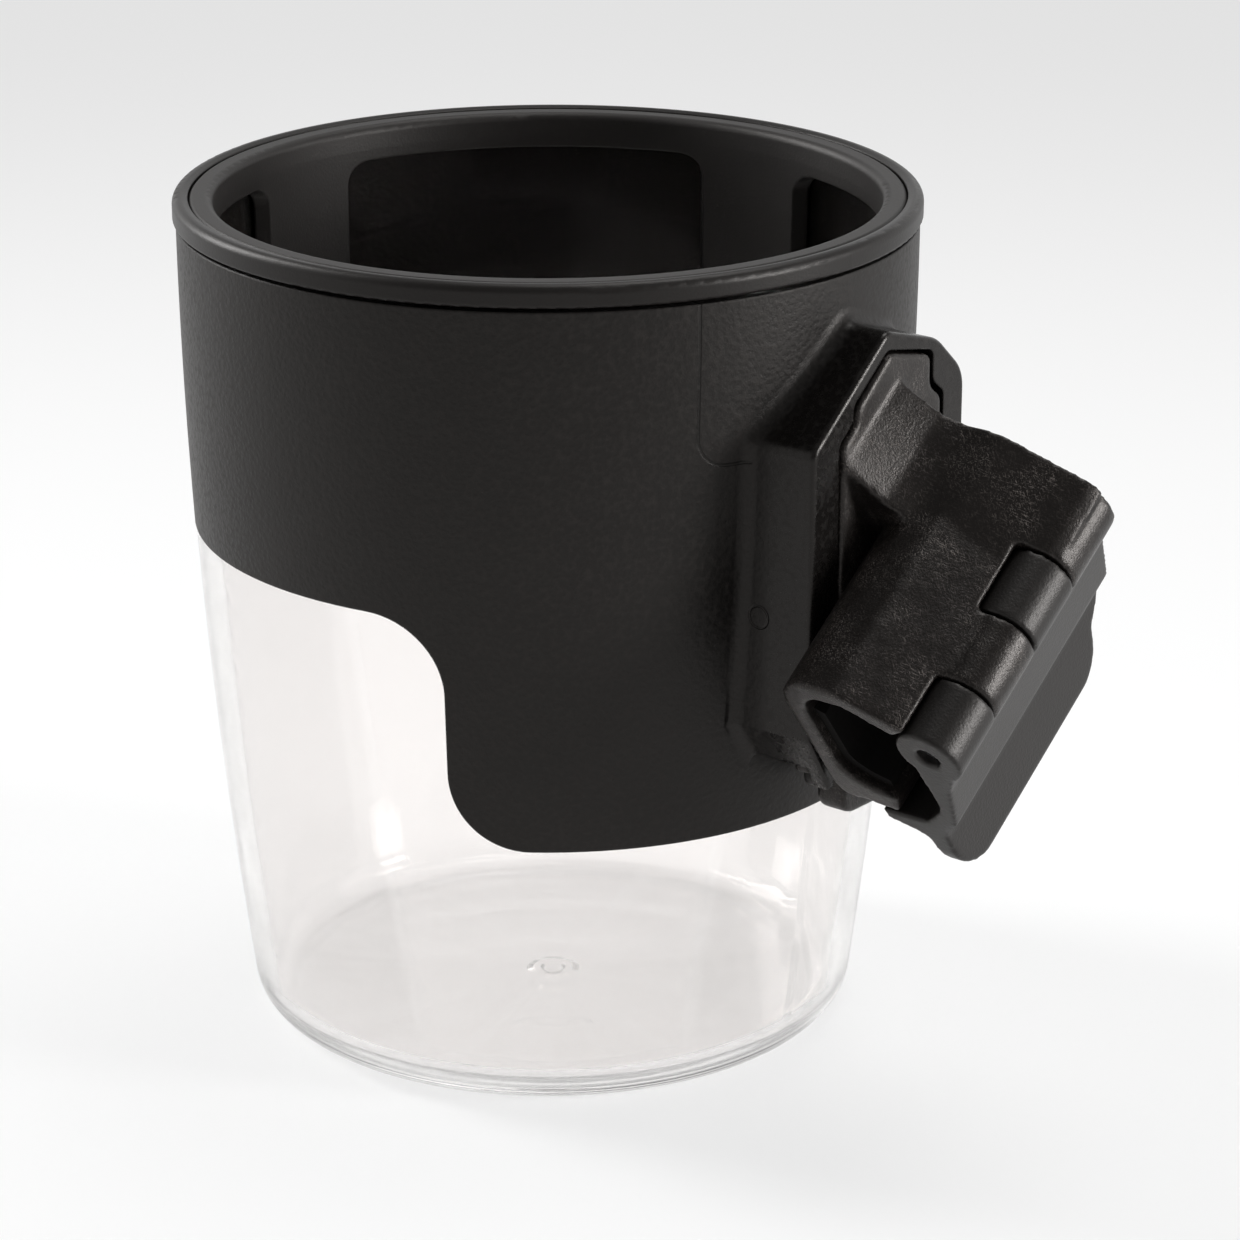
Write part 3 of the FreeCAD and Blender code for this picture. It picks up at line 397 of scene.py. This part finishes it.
class CUPHOLDER_OT_stage(bpy.types.Operator):
    """Set up the pale floor, the white room, the soft lights and the camera"""

    bl_idname = "cupholder.stage"
    bl_label = "Studio"

    def execute(self, context):
        studio = context.scene.cup_holder_studio
        self.add_floor(studio)
        self.add_room(context, studio)
        self.add_lights(studio)
        self.add_camera(context, studio)
        context.scene.view_settings.view_transform = "Standard"
        return {"FINISHED"}

    def add_floor(self, studio):
        """A round pale floor under the foot, which also glows a little."""
        mesh = bpy.data.meshes.new("floor")
        shape = bmesh.new()
        bmesh.ops.create_circle(shape, cap_ends=True, segments=64, radius=studio.floor_size)
        bmesh.ops.translate(shape, vec=(0, 0, CAD_LOW.z), verts=shape.verts)
        shape.to_mesh(mesh)
        shape.free()
        floor = link_object("floor", mesh)
        finish = Finish("floor_white")
        white = studio.floor_white
        mesh.materials.append(finish.surface(
            Base_Color=(white, white, white, 1), Roughness=0.8, Specular_IOR_Level=0.0,
            Emission_Color=(1, 1, 1, 1), Emission_Strength=studio.floor_glow))

    def add_room(self, context, studio):
        """A white room, dim behind the camera and at its ceiling."""
        world = bpy.data.worlds.new("white_room")
        world.use_nodes = True
        graph = Graph(world.node_tree)
        graph.tree.nodes.clear()
        x, y, z = graph.split(graph.node("ShaderNodeTexCoord", {}, {}, "Generated"))
        towards = x * math.cos(studio.azimuth) + y * math.sin(studio.azimuth)
        dimming = towards.step(0.15, 0.95) * (1 - z.step(0.25, 0.8))
        open_wall = studio.sky - dimming * (studio.sky - studio.dim)
        high = z.step(0.25, 0.85)
        strength = open_wall * (1 - high) + studio.zenith * high
        light = graph.node(
            "ShaderNodeBackground", {}, {"Color": (1, 1, 1, 1), "Strength": strength}, "Background")
        out = graph.tree.nodes.new("ShaderNodeOutputWorld")
        graph.tree.links.new(light.socket, out.inputs["Surface"])
        context.scene.world = world

    def add_lights(self, studio):
        """A softbox overhead and a strip light at each side."""
        middle = (CAD_LOW + CAD_HIGH) / 2
        softbox = middle + Vector((0.0, 0.30, 0.9))
        left = middle + Vector((-0.80, -0.20, 0.45))
        right = middle + Vector((0.78, 0.34, 0.17))
        power = studio.side_light
        self.add_light("softbox_top", softbox, middle, 0.5, 0.5, studio.top_light)
        self.add_light("strip_left", left, middle, 0.25, 0.8, power * LEFT_SHARE)
        self.add_light("strip_right", right, middle, 0.2, 0.3, power * RIGHT_SHARE)

    def add_light(self, name, place, target, width, height, power):
        """One rectangular light that faces a point."""
        data = bpy.data.lights.new(name, "AREA")
        data.shape = "RECTANGLE"
        data.size = width
        data.size_y = height
        data.energy = power
        data.spread = LIGHT_SPREAD
        lamp = bpy.data.objects.new(name, data)
        bpy.context.scene.collection.objects.link(lamp)
        lamp.location = place
        lamp.rotation_euler = (target - place).to_track_quat("-Z", "Y").to_euler()

    def add_camera(self, context, studio):
        """The camera, looking back at the aim along its azimuth and elevation."""
        data = bpy.data.cameras.new("camera")
        data.sensor_width = 36
        data.lens = studio.lens
        data.clip_start = 0.02
        data.clip_end = 30
        camera = bpy.data.objects.new("camera", data)
        context.scene.collection.objects.link(camera)
        level = math.cos(studio.elevation)
        back = Vector((level * math.cos(studio.azimuth), level * math.sin(studio.azimuth),
                       math.sin(studio.elevation)))
        camera.location = Vector(studio.aim) + back * studio.distance
        camera.rotation_euler = (-back).to_track_quat("-Z", "Y").to_euler()
        context.scene.camera = camera


def link_object(name, mesh):
    """Puts a mesh in the scene under a name."""
    made = bpy.data.objects.new(name, mesh)
    bpy.context.scene.collection.objects.link(made)
    return made


def moulded_copy(node, body, voxel, passes, material):
    """A copy of a CAD node with the softened edges and blends that moulding leaves."""
    source = NODES[node].data.copy()
    shape = bmesh.new()
    shape.from_mesh(source)
    bmesh.ops.remove_doubles(shape, verts=shape.verts, dist=MERGE_DISTANCE)
    shape.to_mesh(source)
    shape.free()
    rough = link_object(node + "_rough", source)
    remesh = rough.modifiers.new("voxels", "REMESH")
    remesh.mode = "VOXEL"
    remesh.voxel_size = voxel
    soften = rough.modifiers.new("soften", "SMOOTH")
    soften.factor = SMOOTHING
    soften.iterations = passes
    bpy.context.view_layer.update()
    finished = rough.evaluated_get(bpy.context.evaluated_depsgraph_get())
    mesh = bpy.data.meshes.new_from_object(finished)
    bpy.data.objects.remove(rough)
    mesh.name = node + "_moulded"
    mesh.materials.clear()
    mesh.materials.append(material)
    mesh.shade_smooth()
    piece = link_object(node + "_moulded", mesh)
    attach(piece, body)
    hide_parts(node)


class CUPHOLDER_OT_tumbler(bpy.types.Operator):
    """Finish the clear cup"""

    bl_idname = "cupholder.tumbler"
    bl_label = "Clear cup"

    def execute(self, context):
        paint("tumbler", clear_plastic(context.scene.cup_holder_plastic))
        return {"FINISHED"}


class CUPHOLDER_OT_sleeve(bpy.types.Operator):
    """Finish the grained sleeve and its socket"""

    bl_idname = "cupholder.sleeve"
    bl_label = "Sleeve"

    def execute(self, context):
        paint("sleeve", grained_black(context.scene.cup_holder_plastic))
        return {"FINISHED"}


class CUPHOLDER_OT_rim(bpy.types.Operator):
    """Finish the rim ring and the windowed liner"""

    bl_idname = "cupholder.rim"
    bl_label = "Rim and liner"

    def execute(self, context):
        plastic = context.scene.cup_holder_plastic
        paint("rim_ring", satin_black(plastic))
        paint("liner", satin_black(plastic, "liner_black", 0.44, 0.025 * MM, 1.2, 0.34))
        return {"FINISHED"}


class CUPHOLDER_OT_clamp(bpy.types.Operator):
    """Finish the clamp's body, jaw and pads"""

    bl_idname = "cupholder.clamp"
    bl_label = "Clamp"

    def execute(self, context):
        plastic = context.scene.cup_holder_plastic
        nylon = fibre_black(plastic)
        satin = satin_black(plastic, "jaw_black", 0.36, 0.045 * MM, 1.0, 0.34)
        rubber = soft_rubber(plastic)
        paint("clamp_body", nylon)
        paint("clamp_jaw", satin)
        paint("body_pad", rubber)
        paint("jaw_pad", rubber)
        moulded_copy("clamp_body", "clamp", CLAMP_VOXEL, CLAMP_PASSES, nylon)
        moulded_copy("clamp_jaw", "jaw", JAW_VOXEL, JAW_PASSES, satin)
        return {"FINISHED"}


class CUPHOLDER_OT_latch(bpy.types.Operator):
    """Finish the release latch, its leaf spring and the steel pins"""

    bl_idname = "cupholder.latch"
    bl_label = "Latch and pins"

    def execute(self, context):
        steel = bright_steel()
        paint("release_latch", satin_black(context.scene.cup_holder_plastic, "acetal_black", 0.3))
        for node in ("hinge_pin", "latch_pin", "latch_spring"):
            paint(node, steel)
        return {"FINISHED"}


class CUPHOLDER_PT_panel(bpy.types.Panel):
    """Steps that finish the cup holder, with its sizes and colours."""

    bl_idname = "CUPHOLDER_PT_panel"
    bl_label = "Cup Holder"
    bl_space_type = "VIEW_3D"
    bl_region_type = "UI"
    bl_category = "Cup Holder"

    def draw(self, context):
        for step in STEPS:
            self.layout.operator(step.bl_idname)
        for group in (context.scene.cup_holder_plastic, context.scene.cup_holder_studio):
            for name in group.bl_rna.properties.keys()[2:]:
                self.layout.prop(group, name)


STEPS = (
    CUPHOLDER_OT_stage,
    CUPHOLDER_OT_tumbler,
    CUPHOLDER_OT_sleeve,
    CUPHOLDER_OT_rim,
    CUPHOLDER_OT_clamp,
    CUPHOLDER_OT_latch,
)
CLASSES = (PlasticSettings, StudioSettings, *STEPS, CUPHOLDER_PT_panel)


def register():
    for item in CLASSES:
        bpy.utils.register_class(item)
    bpy.types.Scene.cup_holder_plastic = bpy.props.PointerProperty(type=PlasticSettings)
    bpy.types.Scene.cup_holder_studio = bpy.props.PointerProperty(type=StudioSettings)


def unregister():
    del bpy.types.Scene.cup_holder_plastic
    del bpy.types.Scene.cup_holder_studio
    for item in reversed(CLASSES):
        bpy.utils.unregister_class(item)


def main():
    register()
    for step in STEPS:
        group, name = step.bl_idname.split(".")
        getattr(getattr(bpy.ops, group), name)()


if __name__ == "__main__":
    main()
